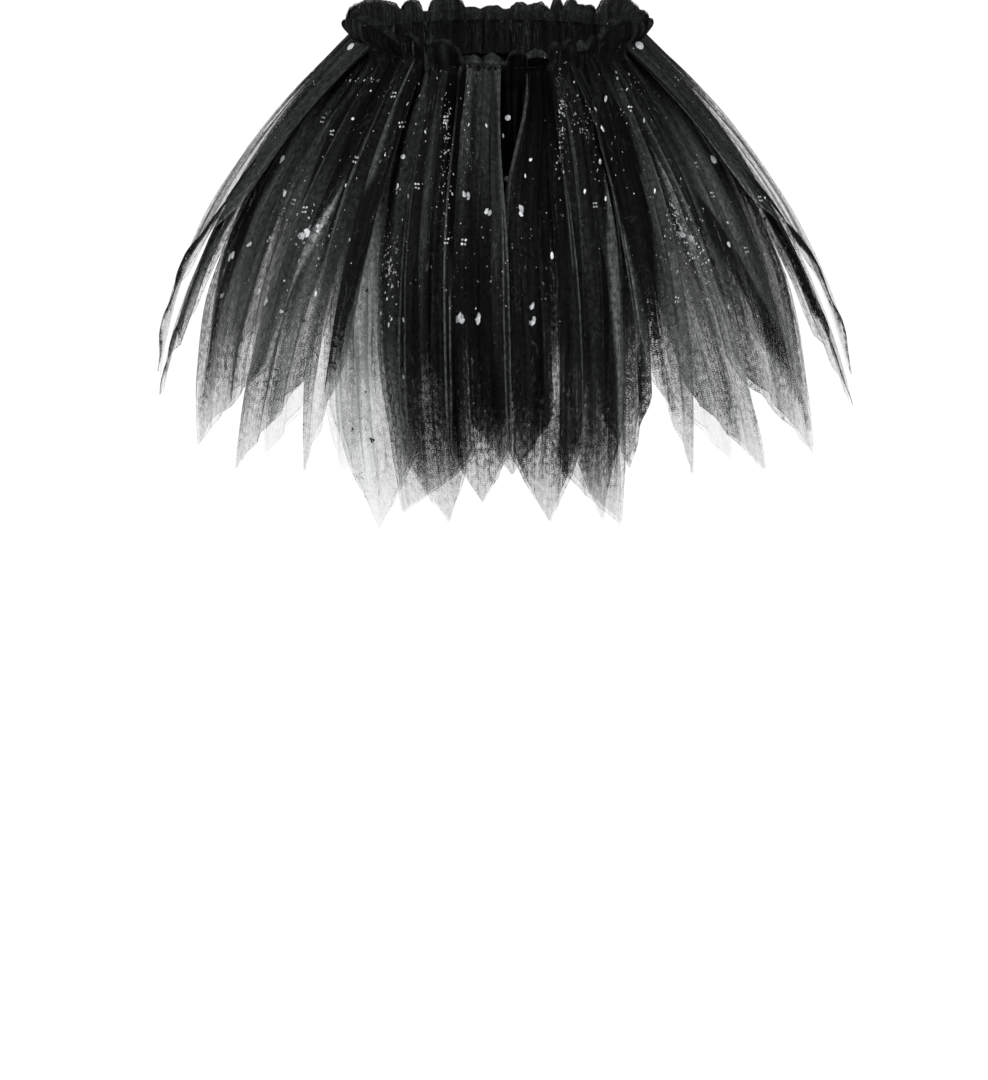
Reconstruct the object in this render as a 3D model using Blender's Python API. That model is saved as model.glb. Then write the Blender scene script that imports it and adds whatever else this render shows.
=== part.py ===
"""A child's ballet tutu: pointed petals of black tulle gathered onto an elastic waist.

Metres, +Z up. The origin is the middle of the waist opening, level with the middle of the
elastic at the sides. The wearer's front faces -Y and the wearer's left is +X. A bearing is
measured round the waist from the front, in degrees, and grows towards +X.
"""

import math
import random
from collections import namedtuple

import bmesh
import bpy

WAIST = "waist"  # the empty at the origin that carries every piece

# The waist: an ellipse through the middle of the casing's wall.
WAIST_HALF_WIDTH = 0.0995
WAIST_HALF_DEPTH = 0.0815
FRONT_DIP = 0.012  # how much lower the waist sits at the front than at the sides

# The casing, a channel of gathered tulle round the elastic.
CASING_TOP = 0.013
CASING_FOOT = -0.016
CASING_WALL = 0.003
CASING_GATHERS = 40
CASING_GATHER_DEPTH = 0.0012
CASING_BULGE = 0.0008  # the elastic pushes the middle of the channel out
CASING_STEPS = 4  # columns of faces for each gather

# The header, the fold of the tulle that stands above the casing.
HEADER_WALL = 0.0012
HEADER_PUFFS = 26
HEADER_STEPS = 6  # columns of faces for each puff
HEADER_ROWS = (1.0, 0.55, 0.0)  # shares of the way up from the casing
HEADER_HEIGHT = 0.0055
HEADER_UNEVEN = 0.0018
UNEVEN_WAVES = (5, 11)  # the rises and falls of its top edge round the waist
HEADER_DEPTH = 0.0034  # how far a puff swings in and out at its top
HEADER_LEAN = 0.002  # how far the top edge rolls outwards
SIDE_ROLL_HEIGHT = 0.005  # extra height of the smooth roll near each side
SIDE_ROLL_BEARING = 62.0
SIDE_ROLL_SPREAD = 14.0
NOTCH_BEARING = -2.0  # the flat place at the front, where the header is pulled down
NOTCH_SPREAD = 6.0
NOTCH_HEIGHT = 0.0045

# The petals.
PETAL_WALL = 0.001
PETAL_FOLDS = 3
PETAL_COLUMNS = 2 * PETAL_FOLDS
BODY_ROWS = (0.0, 0.15, 0.35, 0.57, 0.79, 1.0)  # shares of the way from the seam to the point
POINT_ROWS = (0.4, 0.75, 1.0)  # shares of the way down the point
FOLD_AT_SEAM = 0.0002
FOLD_AT_HEM = 0.0036
GATHERED_SHARE = 0.72  # a petal's width at the seam, as a share of its full width
OPEN_BY = 0.5  # the share of its length by which a petal has opened to full width
POINT_FULLNESS = 1.15
TIP_WIDTH = 0.004
STRAIGHT_LENGTH = 0.03  # a petal leaves the waist straight, then bends evenly downwards
FULL_LENGTH = 0.31  # the length at which a petal reaches its tier's lean at the hem
SEAM_GAP = 0.0003  # touching pieces stay this far apart
FRILL_GAP = 0.0005  # the frill leans, so its foot stays a little further from the casing
HEM_SWAY = 0.005  # the points swing this far to the wearer's left

# Each tier of petals is sewn on at its own height and leans out by its own angles from the
# vertical, at the seam and at the hem, at the sides and at the front or back.
Tier = namedtuple("Tier", "seam_height side_top side_hem front_top front_hem")
TIERS = (
    Tier(-0.0085, 28.0, -2.0, 21.5, -4.0),
    Tier(-0.0045, 32.0, 1.0, 25.0, -2.0),
    Tier(-0.0005, 36.0, 4.0, 28.5, 0.0),
    Tier(0.0035, 40.0, 7.0, 32.5, 2.0),
    Tier(0.0075, 42.0, 12.0, 36.5, 3.5),
    Tier(0.0115, 46.0, 10.5, 40.0, 5.0),
)

# The petals of the front half, from the wearer's right side to the left. Each row is one
# petal: its bearing, how many degrees further round its seam is, how far its point hangs below
# the waist, its full width, how far its point is pushed towards the side (1 keeps that edge
# straight), the share of its length at which the point starts, and its tier.
Row = namedtuple("Row", "bearing seam_turn tip_drop width skew point_from tier")
FRONT = (
    Row(-90.0, 14.0, 0.240, 0.072, 1.0, 0.45, 5),
    Row(-85.5, 0.0, 0.251, 0.050, 0.9, 0.74, 4),
    Row(-77.0, 0.0, 0.242, 0.048, 0.9, 0.76, 2),
    Row(-63.3, -4.0, 0.272, 0.092, 0.8, 0.72, 3),
    Row(-59.4, 9.0, 0.281, 0.048, 0.7, 0.78, 1),
    Row(-49.7, 6.5, 0.271, 0.048, 0.9, 0.76, 4),
    Row(-42.0, -8.0, 0.282, 0.032, 0.4, 0.82, 0),
    Row(-36.1, 1.0, 0.260, 0.028, 0.8, 0.74, 5),
    Row(-26.2, -11.0, 0.303, 0.058, 0.3, 0.80, 2),
    Row(-14.4, -7.5, 0.286, 0.056, 0.9, 0.86, 3),
    Row(-12.3, -6.0, 0.286, 0.040, -0.2, 0.88, 4),
    Row(-4.4, -2.5, 0.269, 0.042, 0.0, 0.88, 5),
    Row(1.8, 1.0, 0.263, 0.054, 0.0, 0.86, 1),
    Row(7.6, 4.0, 0.286, 0.048, 0.2, 0.84, 4),
    Row(19.0, 9.0, 0.294, 0.044, 0.9, 0.86, 3),
    Row(19.8, 9.0, 0.296, 0.034, 0.5, 0.80, 2),
    Row(32.6, 8.0, 0.268, 0.036, 0.2, 0.82, 0),
    Row(32.8, 8.0, 0.260, 0.028, 0.9, 0.74, 5),
    Row(46.6, -6.5, 0.270, 0.050, 1.0, 0.76, 4),
    Row(55.0, -9.0, 0.280, 0.048, 0.7, 0.78, 1),
    Row(63.3, 4.0, 0.277, 0.092, 0.8, 0.72, 3),
    Row(77.0, 0.0, 0.242, 0.048, 0.9, 0.76, 2),
    Row(85.5, 0.0, 0.258, 0.052, 0.9, 0.74, 4),
    Row(90.0, -14.0, 0.242, 0.072, 1.0, 0.45, 5),
)

# The back half is a mirror image of the front half, a little out of true.
BACK_WITHIN = 80.0  # rows nearer the side than this have no like on the back half
BEARING_SPREAD = 1.5
DROP_SPREAD = 0.004
SEED = 11

Petal = namedtuple("Petal", "name row fold_side")


def smooth(share):
    """0 to 1, flat at both ends."""
    share = min(1.0, max(0.0, share))
    return share * share * (3 - 2 * share)


def blend(start, end, share):
    """The value that share of the way from start to end."""
    return start + (end - start) * share


def hump(bearing, centre, spread):
    """1 at the centre bearing, falling to nothing over a few spreads."""
    away = (bearing - centre + 180) % 360 - 180
    return math.exp(-((away / spread) ** 2))


def waist_dip(bearing):
    """The height that the waist loses towards the front."""
    return -FRONT_DIP * max(0.0, math.cos(math.radians(bearing))) ** 2


def ring_point(bearing, outward, height):
    """The point that far outside the waist's ellipse, measured square to it."""
    turn = math.radians(bearing)
    square_x = WAIST_HALF_DEPTH * math.sin(turn)
    square_y = -WAIST_HALF_WIDTH * math.cos(turn)
    share = outward / math.hypot(square_x, square_y)
    x = WAIST_HALF_WIDTH * math.sin(turn) + square_x * share
    y = -WAIST_HALF_DEPTH * math.cos(turn) + square_y * share
    return x, y, height + waist_dip(bearing)


def degrees_per_metre(bearing, outward):
    """How much the bearing changes along a metre of the ring at that distance outside."""
    step = 0.5
    x0, y0, _ = ring_point(bearing - step, outward, 0)
    x1, y1, _ = ring_point(bearing + step, outward, 0)
    return 2 * step / math.hypot(x1 - x0, y1 - y0)


def material(name, colour, roughness):
    made = bpy.data.materials.new(name)
    made.use_nodes = True
    shader = made.node_tree.nodes["Principled BSDF"]
    shader.inputs["Base Color"].default_value = (*colour, 1)
    shader.inputs["Roughness"].default_value = roughness
    shader.inputs["Metallic"].default_value = 0
    return made


def cloth(name, rows, closed, wall, finish):
    """An object whose middle surface runs through rows of points, with a wall round it."""
    mesh = bpy.data.meshes.new(name)
    shape = bmesh.new()
    lines = [[shape.verts.new(point) for point in row] for row in rows]
    columns = len(lines[0])
    for upper, lower in zip(lines, lines[1:]):
        for left in range(columns if closed else columns - 1):
            right = (left + 1) % columns
            shape.faces.new((upper[left], lower[left], lower[right], upper[right]))
    shape.to_mesh(mesh)
    shape.free()
    mesh.materials.append(finish)
    mesh.shade_smooth()
    made = bpy.data.objects.new(name, mesh)
    made.parent = bpy.data.objects[WAIST]
    bpy.context.scene.collection.objects.link(made)
    solid = made.modifiers.new("wall", "SOLIDIFY")
    solid.thickness = wall
    solid.offset = 0
    solid.use_even_offset = True
    return made


def make_casing(finish):
    """The gathered channel, as a ring with a wave for each gather."""
    columns = CASING_GATHERS * CASING_STEPS
    rows = []
    middle = (CASING_TOP + CASING_FOOT) / 2
    for height, bulge in ((CASING_TOP, 0), (middle, CASING_BULGE), (CASING_FOOT, 0)):
        row = []
        for column in range(columns):
            bearing = 360 * column / columns
            wave = math.cos(2 * math.pi * column / CASING_STEPS)
            outward = bulge + CASING_GATHER_DEPTH * wave
            row.append(ring_point(bearing, outward, height))
        rows.append(row)
    return cloth("waist_casing", rows, True, CASING_WALL, finish)


def casing_outside(height):
    """How far the crests of the casing's gathers stand outside the waist's ellipse."""
    middle = (CASING_TOP + CASING_FOOT) / 2
    share = 1 - abs(height - middle) / (CASING_TOP - middle)
    return CASING_WALL / 2 + CASING_GATHER_DEPTH + CASING_BULGE * share


def header_height(bearing):
    """How high the header's top edge stands above the casing."""
    uneven = sum(math.sin(math.radians(waves * bearing)) for waves in UNEVEN_WAVES)
    height = HEADER_HEIGHT + HEADER_UNEVEN * uneven / len(UNEVEN_WAVES)
    for side in (-SIDE_ROLL_BEARING, SIDE_ROLL_BEARING):
        height += SIDE_ROLL_HEIGHT * hump(bearing, side, SIDE_ROLL_SPREAD)
    return blend(height, NOTCH_HEIGHT, hump(bearing, NOTCH_BEARING, NOTCH_SPREAD))


def make_header(finish):
    """The frill above the casing, as a ring that swings further in and out towards its top."""
    columns = HEADER_PUFFS * HEADER_STEPS
    foot = CASING_TOP + FRILL_GAP
    rows = []
    for share in HEADER_ROWS:
        row = []
        for column in range(columns):
            bearing = 360 * column / columns
            height = header_height(bearing)
            full = height / HEADER_HEIGHT
            wave = math.cos(2 * math.pi * column / HEADER_STEPS)
            swing = min(1.0, full) * HEADER_DEPTH * wave
            outward = (swing + HEADER_LEAN * full) * share * share
            row.append(ring_point(bearing, outward, foot + height * share))
        rows.append(row)
    return cloth("header_frill", rows, True, HEADER_WALL, finish)


def petals():
    """Every petal of the skirt: the front half's rows, then their like on the back half."""
    chance = random.Random(SEED)
    made = []
    for order, row in enumerate(FRONT):
        made.append(petal_of(f"front_petal_{order + 1:02d}", row, chance))
    for order, row in enumerate(row for row in FRONT if abs(row.bearing) < BACK_WITHIN):
        back = row._replace(
            bearing=180 - row.bearing + chance.uniform(-BEARING_SPREAD, BEARING_SPREAD),
            seam_turn=-row.seam_turn,
            tip_drop=row.tip_drop + chance.uniform(-DROP_SPREAD, DROP_SPREAD),
        )
        made.append(petal_of(f"back_petal_{order + 1:02d}", back, chance))
    return made


def petal_of(name, row, chance):
    """The petal of a row. Towards the side is a growing bearing on two quarters of the skirt."""
    growing = math.copysign(1, math.sin(math.radians(2 * row.bearing)))
    return Petal(name, row._replace(skew=row.skew * growing), chance.choice((-1, 1)))


def lean_angles(tier, bearing):
    """A tier's lean from the vertical at its seam and at its hem, in radians."""
    facing = math.cos(math.radians(bearing)) ** 2
    top = blend(tier.side_top, tier.front_top, facing)
    hem = blend(tier.side_hem, tier.front_hem, facing)
    return math.radians(top), math.radians(hem)


def bend_of(tier, bearing):
    """How fast the lean changes below the straight stretch, in radians per metre."""
    top, hem = lean_angles(tier, bearing)
    return (hem - top) / (FULL_LENGTH - STRAIGHT_LENGTH)


def hang(tier, bearing, length):
    """(outward, down, lean) that far along the cloth from its seam: straight, then an arc."""
    top = lean_angles(tier, bearing)[0]
    straight = min(length, STRAIGHT_LENGTH)
    outward = straight * math.sin(top)
    down = straight * math.cos(top)
    if length <= STRAIGHT_LENGTH:
        return outward, down, top
    bend = bend_of(tier, bearing)
    lean = top + bend * (length - STRAIGHT_LENGTH)
    outward += (math.cos(top) - math.cos(lean)) / bend
    down += (math.sin(lean) - math.sin(top)) / bend
    return outward, down, lean


def petal_length(row):
    """The length that brings a petal's point down to its drop below the waist."""
    tier = TIERS[row.tier]
    top = lean_angles(tier, row.bearing)[0]
    bend = bend_of(tier, row.bearing)
    below_straight = row.tip_drop + tier.seam_height - STRAIGHT_LENGTH * math.cos(top)
    tip_lean = math.asin(math.sin(top) + bend * below_straight)
    return STRAIGHT_LENGTH + (tip_lean - top) / bend


def half_widths(row, share):
    """Half the petal's width there, and what it would be without the point."""
    opening = blend(GATHERED_SHARE, 1.0, smooth(share / OPEN_BY))
    full = opening * row.width / 2
    towards_tip = max(0.0, (share - row.point_from) / (1 - row.point_from))
    return max(TIP_WIDTH / 2, full * (1 - towards_tip**POINT_FULLNESS)), full


def petal_point(petal, across, share):
    """The middle of the petal's wall. Across runs from -1 to 1 and share from 0 to 1."""
    row = petal.row
    tier = TIERS[row.tier]
    length = share * petal_length(row)
    half, full = half_widths(row, share)
    sideways = across * half + row.skew * (full - half)
    middle = row.bearing + row.seam_turn * (1 - share)
    start = casing_outside(tier.seam_height) + SEAM_GAP
    start += PETAL_WALL / 2 * math.cos(lean_angles(tier, middle)[0])
    middle_away = start + hang(tier, middle, length)[0]
    bearing = middle + sideways * degrees_per_metre(middle, middle_away)
    outward, down, lean = hang(tier, bearing, length)
    depth = blend(FOLD_AT_SEAM, FOLD_AT_HEM, share) * half / full
    fold = petal.fold_side * depth * math.cos(math.pi * PETAL_FOLDS * sideways / full)
    away = start + outward + fold * math.cos(lean)
    height = tier.seam_height - down + fold * math.sin(lean)
    x, y, z = ring_point(bearing, away, height)
    return x + HEM_SWAY * share**3, y, z


def make_petal(petal, finish):
    """One strip of tulle, folded lengthwise and cut to a point."""
    across = [2 * column / PETAL_COLUMNS - 1 for column in range(PETAL_COLUMNS + 1)]
    shares = [petal.row.point_from * share for share in BODY_ROWS]
    shares += [blend(petal.row.point_from, 1.0, share) for share in POINT_ROWS]
    rows = [[petal_point(petal, side, share) for side in across] for share in shares]
    return cloth(petal.name, rows, False, PETAL_WALL, finish)


def clear_scene():
    for old in list(bpy.data.objects):
        bpy.data.objects.remove(old)


def main():
    clear_scene()
    bpy.context.scene.collection.objects.link(bpy.data.objects.new(WAIST, None))
    gathered = material("gathered_tulle", (0.010, 0.010, 0.012), 0.55)
    tulle = material("petal_tulle", (0.020, 0.020, 0.023), 0.6)
    make_casing(gathered)
    make_header(gathered)
    for petal in petals():
        make_petal(petal, tulle)


main()
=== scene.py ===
"""The looks of a child's ballet tutu: sheer black tulle petals, gathered waist and silver glitter.

Metres, +Z up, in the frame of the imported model: the origin is the middle of the waist opening,
the wearer's front faces -Y and the wearer's left is +X. A bearing is measured round the waist
from the front, in degrees, and grows towards +X.
"""

import random
from collections import namedtuple
from math import asin, copysign, cos, exp, hypot, pi, radians, sin, sqrt, tanh

import bpy
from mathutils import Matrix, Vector, noise
from mathutils.bvhtree import BVHTree


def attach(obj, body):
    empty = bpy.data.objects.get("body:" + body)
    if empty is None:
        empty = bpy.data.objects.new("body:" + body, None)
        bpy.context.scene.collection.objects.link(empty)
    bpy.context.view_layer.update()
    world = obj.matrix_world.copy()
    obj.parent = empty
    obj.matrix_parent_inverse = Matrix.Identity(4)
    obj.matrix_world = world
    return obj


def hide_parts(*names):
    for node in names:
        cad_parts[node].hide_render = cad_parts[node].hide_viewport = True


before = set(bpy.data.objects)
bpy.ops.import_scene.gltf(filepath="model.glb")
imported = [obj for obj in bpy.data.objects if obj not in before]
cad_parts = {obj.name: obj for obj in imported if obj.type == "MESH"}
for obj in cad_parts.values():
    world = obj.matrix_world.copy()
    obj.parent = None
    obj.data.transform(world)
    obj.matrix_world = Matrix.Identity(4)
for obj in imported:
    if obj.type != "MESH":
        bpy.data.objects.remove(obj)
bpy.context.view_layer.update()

# The photograph's frame and the camera that took it.
PHOTO_WIDTH = 988
PHOTO_HEIGHT = 1080
SENSOR = 36.0  # mm, along the frame's height
LENS = 208.3
CAMERA_DISTANCE = 4.5
CAMERA_ELEVATION = radians(13)
CAMERA_TARGET = Vector((-0.0025, 0.0, -0.357))
CAMERA_BACK = Vector((0, -cos(CAMERA_ELEVATION), sin(CAMERA_ELEVATION)))
CAMERA_UP = Vector((0, sin(CAMERA_ELEVATION), cos(CAMERA_ELEVATION)))
CAMERA_REACH = 100.0
FLOOR_HEIGHT = -0.72  # where the wearer's feet would stand
BACKDROP_RADIUS = 20.0
BACKDROP_SIDES = 64
ROOM_LIGHT = 0.28
BACKDROP_GLOW = 1.03
NET_LAYERS = 64  # that a ray of light may pass through
# Each light's bearing, height, distance, size and power.
LIGHTS = {"key": (-35.0, 1.6, 2.6, 1.6, 60.0), "fill": (40.0, 0.8, 2.8, 2.0, 40.0)}
LIGHTS_AIM = Vector((0, 0, -0.15))

# The waist, the casing and the header, as in the CAD.
WAIST_HALF_WIDTH = 0.0995
WAIST_HALF_DEPTH = 0.0815
FRONT_DIP = 0.012
CASING_TOP = 0.013
CASING_FOOT = -0.016
CASING_WALL = 0.003
CASING_GATHERS = 40
CASING_GATHER_DEPTH = 0.0012
CASING_BULGE = 0.0008
BEARING_STEP = 0.5  # either side of a bearing, to measure how long a degree is there

# The petals, as in the CAD.
PETAL_WALL = 0.001
PETAL_FOLDS = 3
FOLD_AT_SEAM = 0.0002
FOLD_AT_HEM = 0.0036
GATHERED_SHARE = 0.72
OPEN_BY = 0.5
POINT_FULLNESS = 1.15
TIP_WIDTH = 0.0012  # a cut point, finer than the CAD's
STRAIGHT_LENGTH = 0.03
FULL_LENGTH = 0.31
SEAM_GAP = 0.0003
HEM_SWAY = 0.005

Tier = namedtuple("Tier", "seam_height side_top side_hem front_top front_hem")
TIERS = (
    Tier(-0.0085, 28.0, -2.0, 21.5, -4.0),
    Tier(-0.0045, 32.0, 1.0, 25.0, -2.0),
    Tier(-0.0005, 36.0, 4.0, 28.5, 0.0),
    Tier(0.0035, 40.0, 7.0, 32.5, 2.0),
    Tier(0.0075, 42.0, 12.0, 36.5, 3.5),
    Tier(0.0115, 46.0, 10.5, 40.0, 5.0),
)

# One row for each petal of the front half, as in the CAD, and its looks. The inner ply slips to
# one side by the hem, towards a growing bearing. The covers are how much light one ply stops a
# quarter, a half, three quarters and all of the way down (all of it at the seam), and the tones how
# far painted sheen lightens its threads at evenly spaced places from the seam to the tip. drawn_in
# pulls the edge on the wearer's right inwards at the seam, and let_out moves one edge halfway down,
# towards a growing bearing. Each fold is a strip of the outer ply that lies doubled: where across it
# starts and ends, from -1 to 1, how wide it is, the shares of the length between which it runs, its
# cover and its tone, the painted sheen along it: high for a painted highlight along its ridge, low
# where the doubled strip is painted in shade.
Row = namedtuple(
    "Row",
    "bearing seam_turn tip_drop width skew point_from tier slip covers tones folds drawn_in let_out",
    defaults=(0.0, 0.0),
)
Fold = namedtuple("Fold", "across across_end width starts ends cover tone")
FRONT = (
    Row(-90.0, 14.0, 0.24, 0.072, 1.0, 0.45, 5, 0.004, (0.36, 0.26, 0.2, 0.14), (0.2, 0.5, 0.6),
        (Fold(0.75, 0.3, 0.008, 0.38, 1.0, 3.0, 0.06), Fold(-0.2, -0.1, 0.004, 0.3, 0.6, 0.2, 0.4))),
    Row(-85.5, 0.0, 0.251, 0.05, 0.9, 0.74, 4, 0.006, (0.8, 0.66, 0.34, 0.14), (0.1, 0.3, 0.5),
        (Fold(0.65, 0.4, 0.0125, 0.15, 1.0, 3.0, 0.04), Fold(-0.5, -0.4, 0.005, 0.2, 0.7, 0.5, 0.3))),
    Row(-77.0, 0.0, 0.242, 0.048, 0.9, 0.76, 2, -0.006, (0.8, 0.34, 0.16, 0.02), (0.05, 0.3, 0.6),
        (Fold(0.3, 0.2, 0.005, 0.3, 0.7, 0.4, 0.2),)),
    Row(-63.3, -4.0, 0.272, 0.092, 0.8, 0.72, 3, -0.006, (1.1, 0.58, 0.48, 0.16), (0.05, 0.42, 0.8),
        (Fold(-0.5, -0.62, 0.0165, 0.36, 0.92, 1.8, 0.05), Fold(0.3, 0.1, 0.005, 0.15, 0.55, 1.0, 0.4),
         Fold(0.62, 0.7, 0.008, 0.1, 0.6, 1.2, 0.02)),
        let_out=-0.01),
    Row(-59.4, 9.0, 0.281, 0.048, 0.7, 0.78, 1, 0.004, (0.9, 0.26, 0.1, 0.05), (0.05, 0.3, 0.6),
        (Fold(-0.2, -0.1, 0.006, 0.2, 0.7, 0.4, 0.2),)),
    Row(-49.7, 6.5, 0.271, 0.048, 0.9, 0.76, 4, -0.003, (1.1, 0.56, 0.48, 0.16), (0.04, 0.1, 0.6, 0.9, 1.0),
        (Fold(0.1, -0.8, 0.0045, 0.36, 0.95, 0.6, 2.2), Fold(0.55, 0.5, 0.008, 0.1, 0.62, 1.5, 0.02),
         Fold(-0.45, -0.2, 0.008, 0.05, 0.42, 1.2, 0.02))),
    Row(-42.0, -8.0, 0.282, 0.032, 0.4, 0.82, 0, 0.003, (0.9, 0.3, 0.12, 0.05), (0.05, 0.3, 0.6),
        (Fold(0.0, 0.0, 0.006, 0.2, 0.7, 0.4, 0.2),)),
    Row(-36.1, 1.0, 0.26, 0.028, 0.8, 0.74, 5, -0.002, (1.4, 0.6, 0.34, 0.14), (0.03, 0.05, 0.2, 0.6, 0.9),
        (Fold(0.1, 0.5, 0.005, 0.0, 0.42, 1.2, 0.55), Fold(0.58, 0.42, 0.0125, 0.32, 0.82, 2.4, 0.03)),
        let_out=0.003),
    Row(-26.2, -11.0, 0.303, 0.058, 0.3, 0.8, 2, -0.005, (1.0, 0.9, 0.4, 0.1), (0.02, 0.7, 3.6, 3.6, 3.0),
        (Fold(-0.05, 0.0, 0.003, 0.55, 0.95, 0.4, 0.3), Fold(0.25, 0.2, 0.004, 0.6, 0.9, 0.4, 0.5))),
    Row(-14.4, -7.5, 0.286, 0.056, 0.9, 0.86, 3, 0.004, (1.4, 1.2, 0.66, 0.16), (0.04, 0.12, 0.15),
        (Fold(-0.6, -0.6, 0.008, 0.0, 0.7, 1.5, 0.22), Fold(0.2, 0.2, 0.005, 0.3, 0.9, 1.0, 0.02)),
        let_out=-0.006),
    Row(-12.3, -6.0, 0.286, 0.04, -0.2, 0.88, 4, -0.004, (1.4, 1.2, 0.62, 0.16), (0.06, 0.08, 0.05),
        (Fold(0.15, 0.75, 0.0125, 0.0, 0.38, 2.0, 0.0), Fold(-0.5, -0.4, 0.005, 0.1, 0.8, 1.2, 0.16))),
    Row(-4.4, -2.5, 0.269, 0.042, 0.0, 0.88, 5, 0.004, (1.4, 1.2, 0.85, 0.2), (0.26, 0.03, 0.0),
        (Fold(-0.86, -0.86, 0.0075, 0.0, 0.45, 1.5, 0.0), Fold(0.75, 0.75, 0.006, 0.02, 0.5, 1.5, 0.1))),
    Row(1.8, 1.0, 0.263, 0.054, 0.0, 0.86, 1, 0.004, (1.5, 1.2, 1.0, 0.2), (0.0, 0.0, 0.0),
        (Fold(0.0, 0.0, 0.01, 0.0, 0.9, 1.2, 0.0),)),
    Row(7.6, 4.0, 0.286, 0.048, 0.2, 0.84, 4, 0.005, (1.4, 1.2, 0.8, 0.2), (0.0, 0.05, 0.03),
        (Fold(-0.92, -0.92, 0.0022, 0.0, 0.4, 1.5, 0.3), Fold(0.3, 0.2, 0.006, 0.3, 0.9, 1.2, 0.01)),
        drawn_in=0.016),
    Row(19.0, 9.0, 0.294, 0.044, 0.9, 0.86, 3, -0.004, (1.4, 1.1, 0.62, 0.16), (0.05, 0.1, 0.15),
        (Fold(-0.3, -0.3, 0.0055, 0.05, 0.7, 1.5, 0.25), Fold(0.3, 0.3, 0.006, 0.4, 0.9, 1.0, 0.01),
         Fold(0.76, 0.76, 0.009, 0.3, 0.97, 1.2, 1.1))),
    Row(19.8, 9.0, 0.296, 0.034, 0.5, 0.8, 2, 0.004, (1.4, 1.0, 0.6, 0.14), (0.05, 0.35, 0.35),
        (Fold(0.5, 0.5, 0.005, 0.2, 0.8, 1.0, 0.05),)),
    Row(32.6, 8.0, 0.268, 0.036, 0.2, 0.82, 0, -0.002, (1.3, 1.0, 0.75, 0.3), (0.05, 1.0, 1.0),
        (Fold(0.6, 0.6, 0.006, 0.2, 0.7, 0.6, 0.1),)),
    Row(32.8, 8.0, 0.26, 0.028, 0.9, 0.74, 5, 0.002, (1.4, 0.9, 0.36, 0.14), (0.03, 0.2, 0.3, 0.5, 0.8),
        (Fold(-0.3, -0.5, 0.0165, 0.05, 0.85, 2.4, 0.02), Fold(0.9, 0.8, 0.011, 0.1, 0.5, 1.4, 0.25)),
        let_out=-0.01),
    Row(46.6, -6.5, 0.27, 0.05, 1.0, 0.76, 4, 0.003, (1.1, 0.54, 0.46, 0.16), (0.05, 0.18, 0.6, 0.9, 1.0),
        (Fold(0.75, 0.55, 0.0045, 0.28, 0.7, 0.6, 1.6), Fold(-0.5, -0.5, 0.006, 0.15, 0.55, 1.2, 0.02),
         Fold(0.1, 0.05, 0.007, 0.1, 0.5, 1.2, 0.02))),
    Row(55.0, -9.0, 0.28, 0.048, 0.7, 0.78, 1, -0.004, (0.9, 0.26, 0.1, 0.05), (0.05, 0.3, 0.6),
        (Fold(0.2, 0.2, 0.006, 0.2, 0.7, 0.4, 0.2),)),
    Row(63.3, 4.0, 0.277, 0.092, 0.8, 0.72, 3, 0.006, (1.1, 0.58, 0.46, 0.16), (0.05, 0.42, 0.8),
        (Fold(-0.55, 0.6, 0.021, 0.36, 0.95, 1.8, 0.05), Fold(0.47, 0.5, 0.007, 0.3, 0.6, 1.2, 0.04),
         Fold(-0.6, -0.6, 0.006, 0.2, 0.6, 1.0, 0.3)),
        let_out=0.01),
    Row(77.0, 0.0, 0.242, 0.048, 0.9, 0.76, 2, 0.006, (0.8, 0.34, 0.16, 0.02), (0.05, 0.3, 0.6),
        (Fold(-0.3, -0.2, 0.005, 0.3, 0.7, 0.4, 0.2),)),
    Row(85.5, 0.0, 0.258, 0.052, 0.9, 0.74, 4, -0.008, (0.8, 0.6, 0.26, 0.14), (0.1, 0.3, 0.5),
        (Fold(-0.75, -0.4, 0.0125, 0.15, 1.0, 3.0, 0.04), Fold(0.4, 0.3, 0.005, 0.2, 0.7, 0.5, 0.3))),
    Row(90.0, -14.0, 0.242, 0.072, 1.0, 0.45, 5, -0.004, (0.36, 0.26, 0.2, 0.14), (0.2, 0.5, 0.6),
        (Fold(-0.75, -0.3, 0.008, 0.38, 1.0, 3.0, 0.06), Fold(0.2, 0.1, 0.004, 0.3, 0.6, 0.2, 0.4))),
)
BACK_WITHIN = 80.0
BACK_COVERS = (1.0, 0.7, 0.6, 0.8)  # of the like front petal's
BEARING_SPREAD = 1.5
DROP_SPREAD = 0.004
SEED = 11

Petal = namedtuple("Petal", "name row fold_side order")
Spot = namedtuple("Spot", "petal ply seed across down full aside flat fading")

# The fine cloth of a petal: a strip laid double, so each petal has an outer and an inner ply.
PLY_COLUMNS = 60
PLY_ROWS = 60
ROWS_CLOSER = 0.15  # the rows lie closer towards the tip, by this share
HEAD_ROWS = 6  # above the seam the petal's head lies up against the casing and the header
HEAD_SHARE = 0.92  # of the header's height
HEAD_OFF = 0.0004
HEAD_SETTLE = 0.004
HEAD_UV = 0.012
HEAD_FADES = 3.0  # the top third of the head fades out
FILM_LOWERS = 1.5  # the heads stay this much lower where the header is film
DRAWN_TO = 0.32  # an edge that is drawn in at the seam has its place again here
LET_BY = 0.25  # an edge that is let out is so from this share of the length
LET_BACK = 0.5  # and back in its place this share of that stretch above the tip
PLY_GAP = 0.0012
PLY_SHORTER = 0.03  # the inner ply is up to this share shorter or longer
SLIP_STARTS = 1.5
SLIP_ENDS = 3.0
SLIP_AT_TIP = 0.2
SLIP_UNEVEN = 0.5
PETAL_SEED = 7.3
PLY_SEED = 3.1
FOLD_UNEVEN = 0.16
FOLD_WANDER = 0.35
FOLD_DEPTH = 0.8  # the broad folds' mean share of the CAD's depth
FOLD_DEPTH_SPREAD = 0.9
FINE_FOLDS = 8
FINE_DEPTH = 0.0006
FINE_WANDER = 5.0
FINE_LOST = 0.8  # the share of the fine folds that is gone
FINE_LOST_RATE = 1.6
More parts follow.
